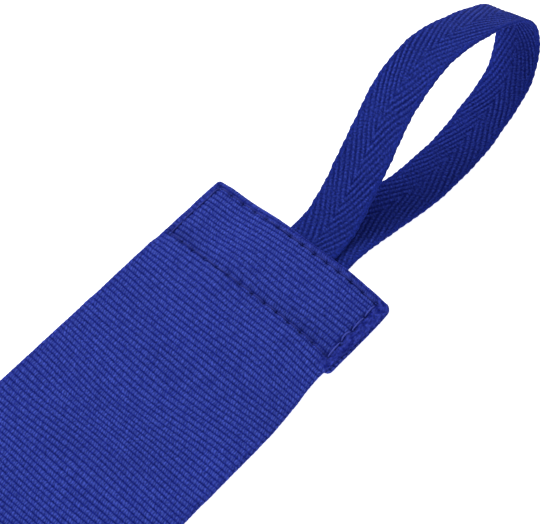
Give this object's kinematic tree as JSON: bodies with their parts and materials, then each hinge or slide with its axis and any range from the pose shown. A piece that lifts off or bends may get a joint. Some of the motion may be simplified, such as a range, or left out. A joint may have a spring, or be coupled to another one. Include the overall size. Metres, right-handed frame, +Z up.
{
  "type": "hand wrap",
  "caption": "Elastic boxing hand wrap, wound into a roll with its free end laid flat: sewn hem and a standing thumb loop of twill tape.",
  "frame": {"origin": "on the resting plane, under the middle of the hem's end edge, where the thumb loop is sewn on", "axes": "+X along the laid band towards the thumb loop, +Y across the band, +Z up from the surface it lies on"},
  "size_m": [0.264, 0.0519, 0.079],
  "materials": {
    "band_cloth": "woven rib, royal blue, matt",
    "loop_tape": "herringbone twill cotton tape, royal blue",
    "sewing_thread": "spun polyester thread, royal blue",
    "hook_tape": "moulded nylon hooks on woven tape",
    "pile_tape": "brushed nylon loop pile"
  },
  "bodies": {
    "roll": {"band_roll": "band_cloth", "band_lead": "band_cloth", "hook_patch": "hook_tape", "pile_patch": "pile_tape", "hook_patch_stitching": "sewing_thread", "pile_patch_stitching": "sewing_thread"},
    "free_end": {"band_free_end": "band_cloth", "thumb_loop_ends": "loop_tape", "hem_bobbin_stitches": "sewing_thread", "hem_stitch_end_row": "sewing_thread", "hem_stitch_inner_row": "sewing_thread", "hem_stitch_left_row": "sewing_thread", "hem_stitch_right_row": "sewing_thread"},
    "loop": {"thumb_loop": "loop_tape"}
  },
  "joints": [
    {"name": "free_end_lift", "type": "hinge", "parent": "roll", "child": "free_end", "pos_m": [-0.11, 0, 0.0009], "axis": [0, -1, 0], "range_deg": [0, 90]},
    {"name": "thumb_loop_swing", "type": "hinge", "parent": "free_end", "child": "loop", "pos_m": [0.00355, 0, 0.0011], "axis": [0, -1, 0], "range_deg": [0, 100]}
  ]
}
